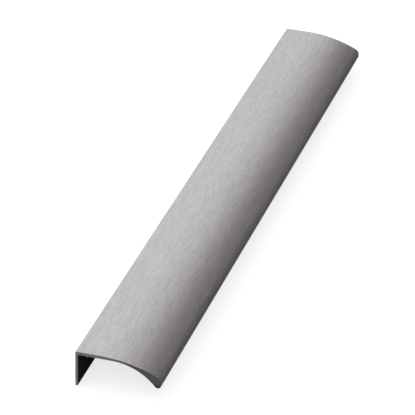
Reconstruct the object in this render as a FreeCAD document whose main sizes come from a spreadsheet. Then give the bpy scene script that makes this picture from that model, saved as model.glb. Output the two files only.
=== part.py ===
import FreeCAD, Part
import os
import Sketcher

# Handleless finger pull profile, in millimetres.
# X runs along the profile, the lip is at -Y, the back flange at +Y, and +Z is up.
# The origin is on the floor, below the middle of the profile's box.

# Driving dimensions
SIZES = {
    "length": 350.0,
    "depth": 41.0,
    "height": 18.0,
    "flange_wall": 1.2,
    "plate_wall": 1.5,
    "crown_start": 12.0,
    "arch_start": 17.5,
    "lip_drop": 11.7,
    "lip_face": 3.0,
    "lip_nose_radius": 1.7,
    "lip_edge_radius": 3.0,
    "back_edge_radius": 0.5,
    "inner_fillet": 0.8,
    "foot_edge_radius": 0.3,
    "end_break": 0.2,
    "hole_diameter": 4.2,
    "hole_sink_diameter": 6.0,
    "hole_sink_angle": 90.0,
    "hole_height": 8.0,
    "hole_end_distance": 15.0,
    "hole_copies": 3,
}

# Sketch point numbers: an element's first and second end, an arc's centre, and the sketch's origin
START, END, CENTRE = 1, 2, 3
ORIGIN = (-1, 1)
Y_AXIS = -1

# Volumes that differ by less than this share of themselves count as equal
VOLUME_SHARE = 0.01

doc = FreeCAD.newDocument("finger_pull")

sizes = doc.addObject("Spreadsheet::Sheet", "sizes")
for row, (name, value) in enumerate(SIZES.items(), start=1):
    sizes.set(f"A{row}", name)
    sizes.set(f"B{row}", str(value))
    sizes.setAlias(f"B{row}", name)
doc.recompute()

body = doc.addObject("PartDesign::Body", "profile")
body.Label = "finger_pull_profile"
body.Placement = FreeCAD.Placement()


def origin_item(role):
    """Return one of the body's own origin planes or axes."""
    return next(item for item in body.Origin.OriginFeatures if item.Role == role)


def new_sketch(name, plane):
    """Add a sketch that lies in one of the body's origin planes."""
    sketch = body.newObject("Sketcher::SketchObject", name)
    sketch.AttachmentSupport = [(origin_item(plane), "")]
    sketch.MapMode = "FlatFace"
    return sketch


def fix(sketch, *values):
    """Add a constraint and return its number."""
    return sketch.addConstraint(Sketcher.Constraint(*values))


def size(sketch, name, expression, *values):
    """Add a driving dimension and bind it to the sheet."""
    sketch.renameConstraint(fix(sketch, *values), name)
    sketch.setExpression(f"Constraints.{name}", expression)


def point(y, z):
    """Return a point of the section's plane."""
    return FreeCAD.Vector(y, z, 0)


def add_line(sketch, start, end):
    """Add a straight line."""
    return sketch.addGeometry(Part.LineSegment(start, end), False)


def add_arc(sketch, centre, start, end):
    """Add an arc that runs anticlockwise from start to end."""
    circle = Part.Circle(centre, FreeCAD.Vector(0, 0, 1), centre.distanceToPoint(start))
    limits = (circle.parameter(start), circle.parameter(end))
    return sketch.addGeometry(Part.ArcOfCircle(circle, *limits), False)


def add_section():
    """Draw the extrusion's section: flange, plate, crowned top, lip and finger arch.

    The crown leaves the flat plate tangentially and falls to the lip's upright face. The arch
    leaves the seat under the plate tangentially and falls to the lip's round nose, which is
    tangent to the upright face too.
    """
    sketch = new_sketch("section", "YZ_Plane")

    back = SIZES["depth"] / 2
    front = -back
    top = SIZES["height"]
    seat = top - SIZES["plate_wall"]
    inner = back - SIZES["flange_wall"]

    nose_radius = SIZES["lip_nose_radius"]
    nose_centre = point(front + nose_radius, top - SIZES["lip_drop"] + nose_radius)
    nose_top = point(front, nose_centre.y)
    lip_edge = point(front, nose_centre.y + SIZES["lip_face"])

    # The crown's radius follows from where it leaves the plate and where it meets the face.
    crown_start = point(back - SIZES["crown_start"], top)
    run = crown_start.x - lip_edge.x
    fall = crown_start.y - lip_edge.y
    crown_centre = crown_start - point(0, (run**2 + fall**2) / (2 * fall))

    # The arch's radius follows from where it leaves the seat and from touching the nose.
    arch_start = point(back - SIZES["arch_start"], seat)
    run = arch_start.x - nose_centre.x
    fall = arch_start.y - nose_centre.y
    arch_radius = (run**2 + fall**2 - nose_radius**2) / (2 * (fall + nose_radius))
    arch_centre = arch_start - point(0, arch_radius)
    touch = arch_centre + (nose_centre - arch_centre).normalize() * arch_radius

    flange_back = add_line(sketch, point(back, 0), point(back, top))
    plate_top = add_line(sketch, point(back, top), crown_start)
    crown = add_arc(sketch, crown_centre, crown_start, lip_edge)
    lip_face = add_line(sketch, lip_edge, nose_top)
    nose = add_arc(sketch, nose_centre, nose_top, touch)
    arch = add_arc(sketch, arch_centre, arch_start, touch)
    plate_seat = add_line(sketch, arch_start, point(inner, seat))
    flange_inner = add_line(sketch, point(inner, seat), point(inner, 0))
    foot = add_line(sketch, point(inner, 0), point(back, 0))

    # How the lines and arcs join
    fix(sketch, "Coincident", flange_back, END, plate_top, START)
    fix(sketch, "Tangent", plate_top, END, crown, START)
    fix(sketch, "Coincident", crown, END, lip_face, START)
    fix(sketch, "Tangent", lip_face, END, nose, START)
    fix(sketch, "Tangent", nose, END, arch, END)
    fix(sketch, "Tangent", arch, START, plate_seat, START)
    fix(sketch, "Coincident", plate_seat, END, flange_inner, START)
    fix(sketch, "Coincident", flange_inner, END, foot, START)
    fix(sketch, "Coincident", foot, END, flange_back, START)
    fix(sketch, "PointOnObject", foot, END, Y_AXIS)
    for upright in (flange_back, lip_face, flange_inner):
        fix(sketch, "Vertical", upright)
    for level in (plate_top, plate_seat, foot):
        fix(sketch, "Horizontal", level)

    # The sizes
    size(sketch, "back", "sizes.depth / 2", "DistanceX", *ORIGIN, foot, END, back)
    size(sketch, "depth", "sizes.depth", "DistanceX", lip_face, START, foot, END, 2 * back)
    size(sketch, "height", "sizes.height", "DistanceY", *ORIGIN, plate_top, START, top)
    size(sketch, "flange_wall", "sizes.flange_wall", "DistanceX", foot, START, foot, END, back - inner)
    size(sketch, "plate_wall", "sizes.plate_wall", "DistanceY", plate_seat, END, plate_top, START, top - seat)
    size(sketch, "crown_start", "sizes.crown_start", "DistanceX", crown, START, foot, END, back - crown_start.x)
    size(sketch, "arch_start", "sizes.arch_start", "DistanceX", arch, START, foot, END, back - arch_start.x)
    size(sketch, "lip_face", "sizes.lip_face", "DistanceY", lip_face, END, lip_face, START, lip_edge.y - nose_top.y)
    size(sketch, "nose_radius", "sizes.lip_nose_radius", "Radius", nose, nose_radius)
    drop = "sizes.lip_drop - sizes.lip_nose_radius"
    size(sketch, "nose_drop", drop, "DistanceY", nose, CENTRE, plate_top, START, top - nose_centre.y)
    return sketch


def edge_along(feature, y, z):
    """Name the feature's edge that runs along the profile through one point of the section."""
    corner = FreeCAD.Vector(0, y, z)
    nearest = min(feature.Shape.Edges, key=lambda edge: edge.BoundBox.Center.distanceToPoint(corner))
    return edge_names(feature, [nearest])


def edges_of_ends(feature):
    """Name the feature's edges that lie in the two sawn end faces."""
    ends = [face for face in feature.Shape.Faces if face.BoundBox.XLength < face.BoundBox.YLength]
    return edge_names(feature, [edge for face in ends for edge in face.Edges])


def edge_names(feature, edges):
    """Name those of the feature's edges that are in the list."""
    numbered = enumerate(feature.Shape.Edges, start=1)
    return [f"Edge{number}" for number, edge in numbered if any(edge.isSame(other) for other in edges)]


def dress_edges(kind, name, base, edges, measure, cell):
    """Round or break some edges of the base by a size of the sheet."""
    feature = body.newObject(kind, name)
    feature.Base = (base, edges)
    feature.setExpression(measure, f"sizes.{cell}")
    doc.recompute()
    return feature


def round_edge(name, base, y, z, cell):
    """Round the edge that runs along the profile through one point of the section."""
    return dress_edges("PartDesign::Fillet", name, base, edge_along(base, y, z), "Radius", cell)


def add_hole_sketch():
    """Mark the first screw hole on the flange's back face."""
    sketch = new_sketch("hole_place", "XZ_Plane")
    sketch.setExpression("AttachmentOffset.Base.z", "-sizes.depth / 2")
    hole_x = SIZES["hole_end_distance"] - SIZES["length"] / 2
    centre = FreeCAD.Vector(hole_x, SIZES["hole_height"], 0)
    radius = SIZES["hole_diameter"] / 2
    circle = sketch.addGeometry(Part.Circle(centre, FreeCAD.Vector(0, 0, 1), radius), False)
    from_middle = "sizes.length / 2 - sizes.hole_end_distance"
    size(sketch, "from_middle", from_middle, "DistanceX", circle, CENTRE, *ORIGIN, -hole_x)
    size(sketch, "hole_height", "sizes.hole_height", "DistanceY", *ORIGIN, circle, CENTRE, centre.y)
    size(sketch, "hole_diameter", "sizes.hole_diameter", "Diameter", circle, 2 * radius)
    return sketch


def add_hole(sketch):
    """Drill a countersunk screw hole through the flange from its back face."""
    hole = body.newObject("PartDesign::Hole", "hole")
    hole.Profile = sketch
    doc.recompute()
    hole.Reversed = True
    hole.Threaded = False
    hole.DepthType = "Dimension"
    hole.DrillPoint = "Flat"
    hole.HoleCutType = "Countersink"
    hole.HoleCutCustomValues = True
    hole.setExpression("Diameter", "sizes.hole_diameter")
    hole.setExpression("Depth", "2 * sizes.flange_wall")
    hole.setExpression("HoleCutDiameter", "sizes.hole_sink_diameter")
    hole.setExpression("HoleCutCountersinkAngle", "sizes.hole_sink_angle")
    doc.recompute()
    return hole


def add_hole_row(hole):
    """Repeat the hole along the profile, as far from the other end as the first is from its own."""
    row = body.newObject("PartDesign::LinearPattern", "hole_row")
    row.Originals = [hole]
    row.Direction = (origin_item("X_Axis"), [""])
    row.setExpression("Length", "sizes.length - 2 * sizes.hole_end_distance")
    row.setExpression("Occurrences", "sizes.hole_copies")
    body.Tip = row
    doc.recompute()
    return row


section = add_section()
bar = body.newObject("PartDesign::Pad", "bar")
bar.Profile = section
bar.Midplane = True
bar.setExpression("Length", "sizes.length")
doc.recompute()

# The edges' places in the section
back_y = SIZES["depth"] / 2
inner_y = back_y - SIZES["flange_wall"]
seat_z = SIZES["height"] - SIZES["plate_wall"]
lip_edge_z = SIZES["height"] - SIZES["lip_drop"] + SIZES["lip_nose_radius"] + SIZES["lip_face"]

edged = round_edge("lip_edge", bar, -back_y, lip_edge_z, "lip_edge_radius")
edged = round_edge("back_edge", edged, back_y, SIZES["height"], "back_edge_radius")
edged = round_edge("inner_corner", edged, inner_y, seat_z, "inner_fillet")
edged = round_edge("foot_outer_edge", edged, back_y, 0, "foot_edge_radius")
edged = round_edge("foot_inner_edge", edged, inner_y, 0, "foot_edge_radius")
edged = dress_edges("PartDesign::Chamfer", "end_break", edged, edges_of_ends(edged), "Size", "end_break")

hole = add_hole(add_hole_sketch())
hole_row = add_hole_row(hole)

# Every feature has to be sound, and every hole has to take away material.
for item in doc.Objects:
    faults = [state for state in item.State if state in ("Invalid", "Error")]
    if faults:
        raise RuntimeError(f"{item.Name} is {faults}")
if section.solve() != 0 or section.FullyConstrained is False:
    raise RuntimeError("the section is not fully constrained")
hole_loss = edged.Shape.Volume - hole.Shape.Volume
row_loss = edged.Shape.Volume - hole_row.Shape.Volume
if hole_loss <= 0 or abs(row_loss - SIZES["hole_copies"] * hole_loss) > VOLUME_SHARE * hole_loss:
    raise RuntimeError("a screw hole cut nothing")
if body.Shape.isNull() or not body.Shape.isValid() or len(body.Shape.Solids) != 1:
    raise RuntimeError("the profile is not one sound solid")

os.makedirs("parts", exist_ok=True)
body.Shape.exportStep(f"parts/{body.Label}.step")
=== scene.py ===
import logging
import math
from dataclasses import dataclass, field
from enum import Enum
from typing import Any, Sequence

import bpy
import numpy as np
from mathutils import Matrix, Vector

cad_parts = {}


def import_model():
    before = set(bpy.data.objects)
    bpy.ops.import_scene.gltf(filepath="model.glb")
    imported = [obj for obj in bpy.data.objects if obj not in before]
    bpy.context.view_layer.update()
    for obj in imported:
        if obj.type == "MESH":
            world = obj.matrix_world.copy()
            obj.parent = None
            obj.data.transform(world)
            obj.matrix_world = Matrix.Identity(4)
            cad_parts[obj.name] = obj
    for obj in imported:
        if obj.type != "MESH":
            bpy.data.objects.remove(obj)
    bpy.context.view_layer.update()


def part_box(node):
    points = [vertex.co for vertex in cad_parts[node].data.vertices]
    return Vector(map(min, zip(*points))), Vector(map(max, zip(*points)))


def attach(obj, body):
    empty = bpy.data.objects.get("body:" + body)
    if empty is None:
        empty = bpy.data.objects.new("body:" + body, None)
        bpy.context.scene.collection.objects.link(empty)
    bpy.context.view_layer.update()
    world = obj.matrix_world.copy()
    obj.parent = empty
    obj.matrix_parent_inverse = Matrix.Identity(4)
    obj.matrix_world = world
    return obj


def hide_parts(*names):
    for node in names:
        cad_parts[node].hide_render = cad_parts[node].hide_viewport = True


# A brushed finger pull profile on a pale studio floor.
# Everything is in metres: X along the profile, the lip at -Y, the back flange at +Y, +Z up.

NODE = "finger_pull_profile"
PIECE = "brushed_pull_profile"
MM = 0.001

WHITE = (1.0, 1.0, 1.0)

# Noise values between which a pattern runs from its dark to its light shade
NOISE_SPAN = (0.3, 0.7)

# Points of a stretch of the section, as y and z, and their outward normals
Stretch = tuple[np.ndarray, np.ndarray]

log = logging.getLogger("finger_pull")


class Surface(Enum):
    """The finishes of the profile's faces, in the order of the piece's material slots."""

    OUTSIDE = 0
    INSIDE = 1
    SAWN = 2
    DRILLED = 3


# Shader maths


class Socket:
    """A shader output that Python's own operators work on."""

    def __init__(self, shader: "Shader", output: Any) -> None:
        """Keep the output and the shader that it belongs to.

        Args:
            shader: the shader whose tree holds the output.
            output: the node output.
        """
        self.shader = shader
        self.output = output

    def _math(self, operation: str, *values: Any) -> "Socket":
        """Add a Math node.

        Args:
            operation: the Math node's operation.
            values: its inputs, as numbers or sockets.

        Returns:
            The node's value.
        """
        return self.shader.node("ShaderNodeMath", {"operation": operation}, dict(enumerate(values)))

    def __add__(self, other: Any) -> "Socket":
        """Return self + other."""
        return self._math("ADD", self, other)

    __radd__ = __add__

    def __sub__(self, other: Any) -> "Socket":
        """Return self - other."""
        return self._math("SUBTRACT", self, other)

    def __rsub__(self, other: Any) -> "Socket":
        """Return other - self."""
        return self._math("SUBTRACT", other, self)

    def __mul__(self, other: Any) -> "Socket":
        """Return self * other."""
        return self._math("MULTIPLY", self, other)

    __rmul__ = __mul__

    def __pow__(self, other: Any) -> "Socket":
        """Return self to the power of other."""
        return self._math("POWER", self, other)

    def __rpow__(self, other: Any) -> "Socket":
        """Return other to the power of self."""
        return self._math("POWER", other, self)

    def ramp(self, low: float, high: float) -> "Socket":
        """Map low..high smoothly to 0..1.

        Args:
            low: the value that becomes 0.
            high: the value that becomes 1.

        Returns:
            The mapped value, clamped.
        """
        settings = {"interpolation_type": "SMOOTHSTEP"}
        return self.shader.node("ShaderNodeMapRange", settings, {0: self, 1: low, 2: high})


@dataclass(frozen=True)
class Grain:
    """Noise drawn out along the profile, as a belt's strokes or an extrusion die's lines.

    The width and length are those of a usual stroke in metres. The detail is the number of the
    noise's octaves, and the octave weight is the strength of each beside the one before it. The
    seed shifts the pattern, so that two grains differ.
    """

    width: float
    length: float
    detail: float = 2.0
    octave_weight: float = 0.6
    seed: float = 0.0


@dataclass(frozen=True)
class ToolMarks:
    """Noise along one coordinate, as the marks that a tool leaves at about that pitch in metres.

    The detail and the octave weight are the noise's, as for a grain.
    """

    pitch: float
    detail: float = 2.0
    octave_weight: float = 0.5


@dataclass
class Shader:
    """The node tree of a material or of the world, written as expressions."""

    owner: Any

    def __post_init__(self) -> None:
        """Empty the owner's node tree."""
        self.owner.use_nodes = True
        self.owner.node_tree.nodes.clear()

    def node(
        self, kind: str, settings: dict[str, Any], values: dict[Any, Any], out: Any = 0
    ) -> Socket:
        """Add one node.

        Args:
            kind: the node's type.
            settings: the node's own properties, set before its sockets.
            values: numbers, colours or sockets by input name or number.
            out: the name or number of the output to return.

        Returns:
            The chosen output.
        """
        made = self.owner.node_tree.nodes.new(kind)
        for key, value in settings.items():
            setattr(made, key, value)
        for key, value in values.items():
            if isinstance(value, Socket):
                self.owner.node_tree.links.new(value.output, made.inputs[key])
            else:
                made.inputs[key].default_value = value
        return Socket(self, made.outputs[out])

    def place(self) -> Socket:
        """Return the Object coordinates."""
        return self.node("ShaderNodeTexCoord", {}, {}, "Object")

    def axis(self, name: str) -> Socket:
        """Return one of the Object coordinates X, Y and Z."""
        return self.node("ShaderNodeSeparateXYZ", {}, {0: self.place()}, name)

    def attribute(self, name: str) -> Socket:
        """Return one of the piece's own numbers by name."""
        return self.node("ShaderNodeAttribute", {"attribute_name": name}, {}, "Fac")

    def ray(self, kind: str) -> Socket:
        """Return 1 where the material is met by that kind of ray, and else 0."""
        return self.node("ShaderNodeLightPath", {}, {}, f"Is {kind} Ray")

    def grain(self, grain: Grain) -> Socket:
        """Draw a grain: noise at (x / length, y / width, z / width), shifted by the seed.

        Args:
            grain: the grain's sizes.

        Returns:
            The noise, about 0.5 on average.
        """
        scale = (1 / grain.length, 1 / grain.width, 1 / grain.width)
        shift = (grain.seed, grain.seed, grain.seed)
        where = self.node("ShaderNodeMapping", {}, {0: self.place(), 1: shift, 3: scale})
        values = {
            "Vector": where,
            "Scale": 1.0,
            "Detail": grain.detail,
            "Roughness": grain.octave_weight,
        }
        return self.node("ShaderNodeTexNoise", {"noise_dimensions": "3D"}, values)

    def tool_marks(self, place: Socket, marks: ToolMarks) -> Socket:
        """Draw tool marks: noise at place / pitch.

        Args:
            place: the coordinate that the marks follow, in metres.
            marks: the marks' sizes.

        Returns:
            The noise, about 0.5 on average.
        """
        values = {
            "W": place * (1 / marks.pitch),
            "Scale": 1.0,
            "Detail": marks.detail,
            "Roughness": marks.octave_weight,
        }
        return self.node("ShaderNodeTexNoise", {"noise_dimensions": "1D"}, values)

    def mix(self, factor: Any, first: Any, second: Any) -> Socket:
        """Mix two colours.

        Args:
            factor: 0 gives the first colour and 1 the second.
            first: a colour or socket.
            second: a colour or socket.

        Returns:
            The mixed colour.
        """
        values = {0: factor, 6: first, 7: second}
        return self.node("ShaderNodeMix", {"data_type": "RGBA"}, values, 2)

    def shades(
        self, noise: Socket, dark: float, light: float, tint: Sequence[float] = WHITE
    ) -> Socket:
        """Return a grey that runs from dark to light with the noise, tinted channel by channel."""
        return self.mix(noise.ramp(*NOISE_SPAN), grey(dark, tint), grey(light, tint))

    def bump(self, height: Socket, depth: float) -> Socket:
        """Turn a height of 0..1 into a normal.

        Args:
            height: the height.
            depth: how far apart the lowest and highest points are, in metres.

        Returns:
            The normal.
        """
        values = {"Strength": 1.0, "Distance": depth, "Height": height}
        return self.node("ShaderNodeBump", {}, values)

    def finish(self, **sockets: Any) -> bpy.types.Material:
        """Close the tree with a Principled shader.

        Args:
            sockets: the Principled shader's inputs, with an underscore for each space.

        Returns:
            The material.
        """
        values = {name.replace("_", " "): value for name, value in sockets.items()}
        surface = self.node("ShaderNodeBsdfPrincipled", {}, values)
        return self.close("ShaderNodeOutputMaterial", surface)

    def close(self, kind: str, surface: Socket) -> Any:
        """Send a shader to an output node.

        Args:
            kind: the output node's type.
            surface: the shader's output.

        Returns:
            The owner, which is the finished material or world.
        """
        output = self.owner.node_tree.nodes.new(kind)
        self.owner.node_tree.links.new(surface.output, output.inputs["Surface"])
        return self.owner


def grey(value: float, tint: Sequence[float] = WHITE) -> tuple[float, float, float, float]:
    """Return a grey of that linear value, tinted channel by channel."""
    return (value * tint[0], value * tint[1], value * tint[2], 1.0)


def vary(middle: float, spread: float, noise: Socket) -> Socket:
    """Return middle + (0.5 - noise) * spread; 0.5 is the noise's average."""
    return middle + (0.5 - noise) * spread


# Finishes


@dataclass(frozen=True)
class BrushedAluminium:
    """Anodised aluminium: brushed bright where it faces up; the sides are satin in painted shade.

    The piece's attribute for its brushed top, 0 to 1, says how far the belt reached, and where
    the sides' painted shade gives way to the bright top. The bright shade comes from short strokes
    and longer patches, and the satin one from the extrusion die's lines.
    """

    light: float = 0.63
    dark: float = 0.49
    tint: tuple[float, float, float] = (1.0, 0.98, 0.99)
    edge_tint: float = 0.6
    roughness: float = 0.36
    roughness_spread: float = 0.12
    strokes: Grain = Grain(0.45 * MM, 3.0 * MM)
    patches: Grain = Grain(1.2 * MM, 12 * MM, seed=7.3)
    stroke_share: float = 0.55
    scratches: Grain = Grain(0.12 * MM, 12 * MM, seed=3.9)
    scratch_depth: float = 0.004 * MM
    # Painted shade: the satin colours of the sides and lip face are far darker than the top's.
    satin_light: float = 0.107
    satin_dark: float = 0.083
    satin_tint: tuple[float, float, float] = (1.0, 0.94, 0.98)
    satin_roughness: float = 0.50
    satin_spread: float = 0.20
    die_lines: Grain = Grain(1.1 * MM, 600 * MM, detail=3.0, seed=5.7)

    def material(self) -> bpy.types.Material:
        """Build the material.

        Returns:
            The brushed material.
        """
        shader = Shader(bpy.data.materials.new("brushed_aluminium"))
        strokes = shader.grain(self.strokes)
        patches = shader.grain(self.patches)
        die_lines = shader.grain(self.die_lines)
        # Blends the sides' painted shade into the bright brushed top; the roughness follows it too.
        brushed_and_lit = shader.attribute("brushed_and_lit")
        brushed = strokes * self.stroke_share + patches * (1 - self.stroke_share)
        bright = shader.shades(brushed, self.dark, self.light, self.tint)
        satin = shader.shades(die_lines, self.satin_dark, self.satin_light, self.satin_tint)
        brushed_roughness = vary(self.roughness, self.roughness_spread, strokes)
        satin_roughness = vary(self.satin_roughness, self.satin_spread, die_lines)
        return shader.finish(
            Base_Color=shader.mix(brushed_and_lit, satin, bright),
            Metallic=1.0,
            Specular_Tint=grey(self.edge_tint),
            Roughness=satin_roughness + (brushed_roughness - satin_roughness) * brushed_and_lit,
            Normal=shader.bump(shader.grain(self.scratches), self.scratch_depth),
        )


@dataclass(frozen=True)
class InsideAluminium:
    """The faces below: matt anodising in a near-black painted shade, over fine extrusion die lines.
    """

    # Painted shade: these colours keep the faces below nearly black.
    light: float = 0.026
    dark: float = 0.012
    roughness: float = 0.62
    roughness_spread: float = 0.16
    specular: float = 0.001
    die_lines: Grain = Grain(0.9 * MM, 300 * MM, detail=3.0, seed=3.1)
    line_depth: float = 0.003 * MM

    def material(self) -> bpy.types.Material:
        """Build the material.

        Returns:
            The matt material.
        """
        shader = Shader(bpy.data.materials.new("inside_aluminium_painted_shade"))
        lines = shader.grain(self.die_lines)
        return shader.finish(
            Base_Color=shader.shades(lines, self.dark, self.light),
            Specular_IOR_Level=self.specular,
            Roughness=vary(self.roughness, self.roughness_spread, lines),
            Normal=shader.bump(lines, self.line_depth),
        )


@dataclass(frozen=True)
class SawnAluminium:
    """The cut ends: a saw blade's arcs, painted lightest at the flange and darkest at the tip.

    The flange side's painted light is a blend between two places in Y, the lip tip's painted shade
    one between two heights, and the blade's centre is given as y and z.
    """

    # Painted shade: the cut ends are far darker than the brushed top.
    light: float = 0.095
    dark: float = 0.055
    flange_painted_light: float = 0.140
    flange_light_span: tuple[float, float] = (-6 * MM, 8 * MM)
    tip: float = 0.020
    tip_heights: tuple[float, float] = (6.3 * MM, 9.3 * MM)
    roughness: float = 0.46
    roughness_spread: float = 0.16
    blade_centre: tuple[float, float] = (90 * MM, -120 * MM)
    marks: ToolMarks = ToolMarks(0.35 * MM, detail=3.0, octave_weight=0.7)
    mark_depth: float = 0.004 * MM

    def material(self) -> bpy.types.Material:
        """Build the material: the marks follow the distance from the blade's centre, as arcs.

        Returns:
            The sawn material.
        """
        shader = Shader(bpy.data.materials.new("sawn_aluminium_painted_shade"))
        y, z = shader.axis("Y"), shader.axis("Z")
        across, upright = y - self.blade_centre[0], z - self.blade_centre[1]
        distance = (across * across + upright * upright) ** 0.5
        marks = shader.tool_marks(distance, self.marks)
        # Painted light towards the flange and painted shade at the lip's tip, blended across Y and
        # Z.
        near_flange = y.ramp(*self.flange_light_span)
        near_tip = (1 - z.ramp(*self.tip_heights)) * (1 - near_flange)
        shaded_marks = shader.shades(marks, self.dark, self.light)
        sawn = shader.mix(near_flange, shaded_marks, grey(self.flange_painted_light))
        return shader.finish(
            Base_Color=shader.mix(near_tip, sawn, grey(self.tip)),
            Metallic=1.0,
            Roughness=vary(self.roughness, self.roughness_spread, marks),
            Normal=shader.bump(marks, self.mark_depth),
        )


@dataclass(frozen=True)
class DrilledAluminium:
    """The screw holes' walls: the drill's turning marks under dark anodising."""

    light: float = 0.016
    dark: float = 0.008
    roughness: float = 0.50
    roughness_spread: float = 0.12
    specular: float = 0.03
    marks: ToolMarks = ToolMarks(0.12 * MM)
    mark_depth: float = 0.002 * MM

    def material(self) -> bpy.types.Material:
        """Build the material: the marks are rings, so they vary only along the hole's axis.

        Returns:
            The drilled material.
        """
        shader = Shader(bpy.data.materials.new("drilled_aluminium"))
        marks = shader.tool_marks(shader.axis("Y"), self.marks)
        return shader.finish(
            Base_Color=shader.shades(marks, self.dark, self.light),
            Specular_IOR_Level=self.specular,
            Roughness=vary(self.roughness, self.roughness_spread, marks),
            Normal=shader.bump(marks, self.mark_depth),
        )


# The profile


def closed_skin(name: str, rings: np.ndarray) -> bpy.types.Mesh:
    """Join rings of points into one closed mesh, with a face across each end.

    The side face at ring r and place p has the corners (r, p), (r, p + 1), (r + 1, p + 1) and
    (r + 1, p), and the last place is followed by the first.

    Args:
        name: the mesh's name.
        rings: the points by ring, place and coordinate. Each ring turns as a right-handed screw
            does that moves towards the next ring, so that the faces point outwards.

    Returns:
        The mesh: its side faces ring by ring, and then its two ends.
    """
    ring_count, count = rings.shape[:2]
    ring, place = np.meshgrid(np.arange(ring_count - 1), np.arange(count), indexing="ij")
    here, ahead = ring * count, (ring + 1) * count
    after = (place + 1) % count
    sides = np.stack([here + place, here + after, ahead + after, ahead + place], axis=2)
    first = np.arange(count)[::-1]
    last = np.arange(count) + (ring_count - 1) * count
    mesh = bpy.data.meshes.new(name)
    faces = sides.reshape(-1, 4).tolist() + [first.tolist(), last.tolist()]
    mesh.from_pydata(rings.reshape(-1, 3).tolist(), [], faces)
    return mesh


@dataclass(frozen=True)
class Section:
    """The extrusion's section as one closed, smooth curve in the YZ plane.

    Every corner is an arc that is tangent to its neighbours, so each point has one outward normal.
    The sizes are the ones that the solid is made with, and the steps are the points of a stretch.
    """

    depth: float
    height: float
    flange_wall: float = 1.2 * MM
    plate_wall: float = 1.5 * MM
    crown_start: float = 12.0 * MM
    arch_start: float = 17.5 * MM
    lip_drop: float = 11.7 * MM
    lip_face: float = 3.0 * MM
    nose_radius: float = 1.7 * MM
    lip_edge_radius: float = 3.0 * MM
    back_edge_radius: float = 0.5 * MM
    inner_fillet: float = 0.8 * MM
    foot_edge_radius: float = 0.3 * MM
    corner_steps: int = 8
    curve_steps: int = 40
    flat_steps: int = 6
    foot_steps: int = 2

    @staticmethod
    def line(start: Sequence[float], end: Sequence[float], steps: int) -> Stretch:
        """A straight stretch: start + (end - start) * t, with t from 0 to before 1.

        Args:
            start: first point, as y and z.
            end: last point, as y and z.
            steps: number of points.

        Returns:
            The points and their outward normals, which lie to the right of the way along.
        """
        start, end = np.asarray(start), np.asarray(end)
        points = start + (end - start) * np.linspace(0, 1, steps, endpoint=False)[:, None]
        way = (end - start) / np.linalg.norm(end - start)
        return points, np.tile([way[1], -way[0]], (steps, 1))

    @staticmethod
    def arc(
        centre: Sequence[float], radius: float, first: float, last: float, steps: int
    ) -> Stretch:
        """A round stretch: centre + radius * (cos a, sin a), with a from first to before last.

        Args:
            centre: the arc's centre, as y and z.
            radius: its radius.
            first: its first angle in radians.
            last: its last angle; a smaller one than first makes a hollow arc.
            steps: number of points.

        Returns:
            The points and their outward normals.
        """
        angles = np.linspace(first, last, steps, endpoint=False)
        spoke = np.stack([np.cos(angles), np.sin(angles)], axis=1)
        return np.asarray(centre) + radius * spoke, spoke * np.sign(last - first)

    def curve(self) -> tuple[np.ndarray, np.ndarray, np.ndarray]:
        """Run round the section: up the back, over the crown, round the lip and back below.

        Returns:
            The points as an array of y and z, their outward normals, and the finish that
            follows each point.
        """
        back, top = self.depth / 2, self.height
        front, inner, seat = -back, back - self.flange_wall, top - self.plate_wall
        nose = np.array([front + self.nose_radius, top - self.lip_drop + self.nose_radius])
        lip_edge_z = nose[1] + self.lip_face

        # The crown runs from the plate to the lip's edge, where a small round joins it to the face.
        run, fall = back - self.crown_start - front, top - lip_edge_z
        crown_radius = (run**2 + fall**2) / (2 * fall)
        crown = np.array([back - self.crown_start, top - crown_radius])
        edge_y = front + self.lip_edge_radius
        reach = crown_radius - self.lip_edge_radius
        edge = np.array([edge_y, crown[1] + math.sqrt(reach**2 - (crown[0] - edge_y) ** 2)])
        edge_angle = math.atan2(edge[1] - crown[1], edge[0] - crown[0])

        # The arch runs from the seat to the nose and touches it from below.
        run, fall = back - self.arch_start - nose[0], seat - nose[1]
        arch_radius = (run**2 + fall**2 - self.nose_radius**2) / (2 * (fall + self.nose_radius))
        arch = np.array([back - self.arch_start, seat - arch_radius])
        arch_angle = math.atan2(nose[1] - arch[1], nose[0] - arch[0])

        right, up, left, down = 0.0, math.pi / 2, math.pi, 1.5 * math.pi
        foot, rounding, fillet = self.foot_edge_radius, self.back_edge_radius, self.inner_fillet
        flat, corner, bend = self.flat_steps, self.corner_steps, self.curve_steps
        outside = [
            self.line((back, foot), (back, top - rounding), flat),
            self.arc((back - rounding, top - rounding), rounding, right, up, corner),
            self.line((back - rounding, top), (crown[0], top), flat),
            self.arc(crown, crown_radius, up, edge_angle, bend),
            self.arc(edge, self.lip_edge_radius, edge_angle, left, 2 * corner),
            self.line((front, edge[1]), (front, nose[1]), flat),
        ]
        # From the nose round to the foot, the faces take the inside finish's near-black painted
        # shade.
        inside = [
            self.arc(nose, self.nose_radius, left, arch_angle + math.pi, 2 * corner),
            self.arc(arch, arch_radius, arch_angle, up, bend),
            self.line((arch[0], seat), (inner - fillet, seat), flat),
            self.arc((inner - fillet, seat - fillet), fillet, up, right, corner),
            self.line((inner, seat - fillet), (inner, foot), flat),
            self.arc((inner + foot, foot), foot, left, down, corner),
            self.line((inner + foot, 0), (back - foot, 0), self.foot_steps),
            self.arc((back - foot, foot), foot, down, 2 * math.pi, corner),
        ]
        points, normals = zip(*outside, *inside)
        counts = [sum(len(stretch[0]) for stretch in part) for part in (outside, inside)]
        finish = np.repeat([Surface.OUTSIDE.value, Surface.INSIDE.value], counts)
        return np.concatenate(points), np.concatenate(normals), finish


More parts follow.
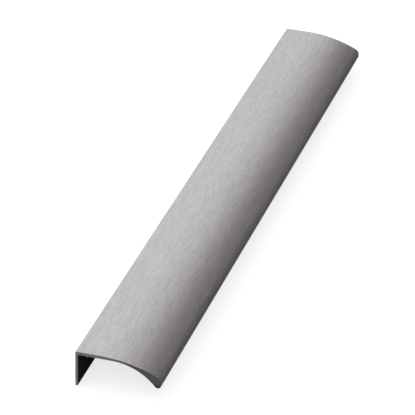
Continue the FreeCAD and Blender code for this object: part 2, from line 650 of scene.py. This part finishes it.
@dataclass
class PullProfile:
    """The profile: the section carried along X, with broken end edges and screw holes."""

    low: np.ndarray
    high: np.ndarray
    end_break: float = 0.2 * MM
    break_steps: int = 4
    stations: int = 36
    hole_radius: float = 2.1 * MM
    sink_radius: float = 3.0 * MM
    hole_height: float = 8.0 * MM
    hole_end_distance: float = 15.0 * MM
    hole_copies: int = 3
    hole_sides: int = 96
    sharp_angle: float = math.radians(35)
    # Upward slopes between which the sides' painted shade gives way to the brushed top
    brushed_and_lit_slopes: tuple[float, float] = (0.32, 0.88)
    length: float = field(init=False)
    section: Section = field(init=False)

    def __post_init__(self) -> None:
        """Take the length and the section's outer sizes from the solid's box."""
        size = self.high - self.low
        self.length = float(size[0])
        self.section = Section(depth=float(size[1]), height=float(size[2]))

    def bar(self) -> bpy.types.Mesh:
        """Carry the section along X; near both ends it shrinks by a quarter circle, the end break.

        A vertex is (x, point - normal * inset), with x and inset given by the station and point
        and normal by the place on the section.

        Returns:
            The bar without its holes.
        """
        points, normals, finish = self.section.curve()
        turn = np.linspace(math.pi / 2, 0, self.break_steps + 1)
        end_x = self.length / 2 - self.end_break * (1 - np.sin(turn))
        end_inset = self.end_break * (1 - np.cos(turn))
        middle = np.linspace(-end_x[-1], end_x[-1], self.stations)[1:-1]
        xs = np.concatenate([-end_x, middle, end_x[::-1]])
        inset = np.concatenate([end_inset, np.zeros(len(middle)), end_inset[::-1]])

        ring = points[None] - normals[None] * inset[:, None, None]
        along = np.broadcast_to(xs[:, None, None], (len(xs), len(points), 1))
        mesh = closed_skin(PIECE, np.concatenate([along, ring], axis=2))
        dress = np.tile(finish, (len(xs) - 1, 1))
        # The end breaks take the sawn finish, whose painted shade draws them as a dark line.
        dress[: self.break_steps] = Surface.SAWN.value
        dress[-self.break_steps :] = Surface.SAWN.value
        ends = [Surface.SAWN.value] * 2
        mesh.polygons.foreach_set("material_index", np.concatenate([dress.ravel(), ends]))
        return mesh

    def brush_and_light(self, mesh: bpy.types.Mesh) -> None:
        """Store how far the belt reached: 1 on top, 0 on the sides, which take a painted shade.

        With t from 0 to 1 between two slopes of the section's nearest point, it is
        t * t * (3 - 2 * t).

        Args:
            mesh: the bar with its holes.
        """
        points, normals, _ = self.section.curve()
        low, high = self.brushed_and_lit_slopes
        share = np.clip((normals[:, 1] - low) / (high - low), 0, 1)
        reach = share * share * (3 - 2 * share)
        places = np.empty(len(mesh.vertices) * 3)
        mesh.vertices.foreach_get("co", places)
        gaps = places.reshape(-1, 1, 3)[:, :, 1:] - points
        nearest = np.square(gaps).sum(axis=2).argmin(axis=1)
        brushed_and_lit = mesh.attributes.new("brushed_and_lit", "FLOAT", "POINT")
        brushed_and_lit.data.foreach_set("value", reach[nearest])

    def drill(self, x: float) -> bpy.types.Mesh:
        """A countersink tool: a profile of radius over y, turned about the hole's axis.

        A vertex is (x + r cos a, y, hole height + r sin a), with r and y from the profile, which
        runs inwards from behind the flange. The sink has sides at 45 degrees, so it is as deep as
        its radius is larger than the hole's.

        Args:
            x: the hole's place along the bar.

        Returns:
            The tool's closed mesh.
        """
        hole, sink = self.hole_radius, self.sink_radius
        back = self.section.depth / 2
        spare = self.section.flange_wall
        y = np.array([back + spare, back, back - (sink - hole), back - 2 * spare])
        radius = np.array([sink + spare, sink, hole, hole])
        angle = np.linspace(0, 2 * math.pi, self.hole_sides, endpoint=False)
        across = x + radius[:, None] * np.cos(angle)
        inwards = np.broadcast_to(y[:, None], across.shape)
        upright = self.hole_height + radius[:, None] * np.sin(angle)
        mesh = closed_skin("drill", np.stack([across, inwards, upright], axis=2))
        dress = np.full(len(mesh.polygons), Surface.DRILLED.value)
        mesh.polygons.foreach_set("material_index", dress)
        return mesh

    def hole_places(self) -> np.ndarray:
        """Return the holes' places along X, evenly between the two end distances."""
        reach = self.length / 2 - self.hole_end_distance
        return np.linspace(-reach, reach, self.hole_copies)

    def build(self, materials: Sequence[bpy.types.Material]) -> bpy.types.Object:
        """Make the piece: the bar, less a drill at each hole's place.

        Args:
            materials: one for each Surface, in its order.

        Returns:
            The finished piece.
        """
        piece = new_object(PIECE, self.bar(), materials)
        for x in self.hole_places():
            drill = new_object("drill", self.drill(float(x)), materials)
            cut = piece.modifiers.new("hole", "BOOLEAN")
            cut.operation = "DIFFERENCE"
            cut.solver = "EXACT"
            cut.object = drill
            bpy.context.view_layer.update()
            cut_piece = piece.evaluated_get(bpy.context.evaluated_depsgraph_get())
            holed = bpy.data.meshes.new_from_object(cut_piece)
            piece.modifiers.clear()
            piece.data = holed
            bpy.data.objects.remove(drill)
        piece.data.name = PIECE
        self.brush_and_light(piece.data)
        piece.data.shade_smooth()
        piece.data.set_sharp_from_angle(angle=self.sharp_angle)
        weighted = piece.modifiers.new("even_shading", "WEIGHTED_NORMAL")
        weighted.keep_sharp = True
        return piece


def new_object(
    name: str, mesh: bpy.types.Mesh, materials: Sequence[bpy.types.Material]
) -> bpy.types.Object:
    """Link a new object with that mesh and those material slots.

    Args:
        name: the object's name.
        mesh: its mesh.
        materials: its materials.

    Returns:
        The object.
    """
    for material in materials:
        mesh.materials.append(material)
    made = bpy.data.objects.new(name, mesh)
    bpy.context.scene.collection.objects.link(made)
    return made


# The studio


@dataclass(frozen=True)
class CeilingPanel:
    """A flat lamp that hangs level beyond the far end, given by the floor area below it."""

    name: str
    y: tuple[float, float]
    radiance: float
    tint: tuple[float, float, float] = WHITE
    x: tuple[float, float] = (1.2, 8.0)
    height: float = 1.7

    def build(self) -> None:
        """Hang the lamp. A flat lamp of area a and radiance r gives off pi * a * r watts."""
        lamp = bpy.data.lights.new(self.name, "AREA")
        lamp.shape = "RECTANGLE"
        lamp.size, lamp.size_y = self.x[1] - self.x[0], self.y[1] - self.y[0]
        lamp.energy = math.pi * lamp.size * lamp.size_y * self.radiance
        lamp.color = self.tint
        made = bpy.data.objects.new(self.name, lamp)
        made.location = (sum(self.x) / 2, sum(self.y) / 2, self.height)
        bpy.context.scene.collection.objects.link(made)


@dataclass(frozen=True)
class Studio:
    """A pale floor, a white surround with one dark side, and a ceiling that fades to the front.

    The dark side and the dim, purplish front panels are what darkens and tints the lip.
    """

    floor_size: float = 40.0
    floor_colour: float = 0.45
    floor_glow: float = 0.76
    surround: float = 1.00
    dark_surround: float = 0.09
    dark_way: tuple[float, float, float] = (0.92, -0.33, 0.21)
    dark_reach: tuple[float, float] = (-0.30, 0.93)
    panels: tuple[CeilingPanel, ...] = (
        CeilingPanel("back_panel", (0.75, 3.2), 1.10),
        CeilingPanel("upper_panel", (0.22, 0.75), 0.96),
        CeilingPanel("middle_panel", (-0.20, 0.22), 0.78, (1.0, 0.97, 0.99)),
        CeilingPanel("front_panel", (-0.65, -0.20), 0.20, (1.0, 0.80, 0.98)),
        CeilingPanel("dark_panel", (-1.3, -0.65), 0.04, (1.0, 0.88, 0.98)),
        CeilingPanel("far_front_panel", (-3.5, -1.3), 0.14, (1.0, 0.88, 0.98)),
    )

    def build(self) -> None:
        """Lay the floor and set up the light."""
        self.build_floor()
        self.build_surround()
        for panel in self.panels:
            panel.build()

    def build_floor(self) -> None:
        """Lay a flat floor, which glows for the camera and in reflections and so looks white."""
        half = self.floor_size / 2
        outline = [(-half, -half, 0), (half, -half, 0), (half, half, 0), (-half, half, 0)]
        mesh = bpy.data.meshes.new("floor")
        mesh.from_pydata(outline, [], [(0, 1, 2, 3)])
        shader = Shader(bpy.data.materials.new("pale_floor"))
        rays = [shader.ray(kind) for kind in ("Camera", "Glossy", "Transmission")]
        glow = (rays[0] + rays[1] + rays[2]) * self.floor_glow
        paint = shader.node("ShaderNodeBsdfDiffuse", {}, {"Color": grey(self.floor_colour)})
        light = shader.node("ShaderNodeEmission", {}, {"Color": grey(1.0), "Strength": glow})
        both = shader.node("ShaderNodeAddShader", {}, {0: paint, 1: light})
        new_object("floor", mesh, [shader.close("ShaderNodeOutputMaterial", both)])

    def build_surround(self) -> None:
        """Light the world white, and darker the nearer a direction is to the dark way.

        The dark way points low beyond the far end, in front. The nearness is its dot product with
        the direction, and the world darkens between the two values of dark_reach.
        """
        shader = Shader(bpy.data.worlds.new("surround"))
        way = shader.node("ShaderNodeTexCoord", {}, {}, "Generated")
        values = {0: way, 1: Vector(self.dark_way).normalized()}
        operation = {"operation": "DOT_PRODUCT"}
        nearness = shader.node("ShaderNodeVectorMath", operation, values, "Value")
        dark = nearness.ramp(*self.dark_reach)
        strength = self.surround + (self.dark_surround - self.surround) * dark
        light = shader.node("ShaderNodeBackground", {}, {"Color": grey(1.0), "Strength": strength})
        bpy.context.scene.world = shader.close("ShaderNodeOutputWorld", light)


@dataclass(frozen=True)
class PhotoCamera:
    """The photograph's viewpoint: a long lens above and beyond the profile's near end."""

    aim: tuple[float, float, float] = (-0.00568, 0.00973, 0.00446)
    azimuth: float = -73.413
    elevation: float = 29.483
    roll: float = 1.149
    distance: float = 1.579
    lens: float = 274.4
    sensor: float = 36.0
    clip: tuple[float, float] = (0.05, 50.0)

    def build(self) -> None:
        """Place the camera. Azimuth 0 looks along +Y and 90 along -X."""
        azimuth, elevation = math.radians(self.azimuth), math.radians(self.elevation)
        level = math.cos(elevation)
        back = Vector((math.sin(azimuth) * level, -math.cos(azimuth) * level, math.sin(elevation)))
        data = bpy.data.cameras.new("photo_camera")
        data.lens = self.lens
        data.sensor_width = self.sensor
        data.clip_start, data.clip_end = self.clip
        camera = bpy.data.objects.new("photo_camera", data)
        stand = Matrix.Translation(Vector(self.aim) + back * self.distance)
        turn = (-back).to_track_quat("-Z", "Y").to_matrix().to_4x4()
        tilt = Matrix.Rotation(math.radians(self.roll), 4, "Z")
        camera.matrix_world = stand @ turn @ tilt
        bpy.context.scene.collection.objects.link(camera)
        bpy.context.scene.camera = camera


def main() -> None:
    """Build the profile, dress it, and set up the studio and the camera."""
    logging.basicConfig(level=logging.INFO, format="%(name)s: %(message)s")
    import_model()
    bpy.context.scene.view_settings.view_transform = "Standard"

    finishes = {
        Surface.OUTSIDE: BrushedAluminium(),
        Surface.INSIDE: InsideAluminium(),
        Surface.SAWN: SawnAluminium(),
        Surface.DRILLED: DrilledAluminium(),
    }
    materials = [finishes[surface].material() for surface in Surface]
    low, high = (np.array(corner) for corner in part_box(NODE))
    profile = PullProfile(low, high)
    piece = profile.build(materials)
    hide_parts(NODE)
    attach(piece, "root")
    faces = len(piece.data.polygons)
    log.info("%s: %d faces, %.1f mm long", piece.name, faces, profile.length / MM)

    Studio().build()
    PhotoCamera().build()
    bpy.context.view_layer.update()


if __name__ == "__main__":
    main()
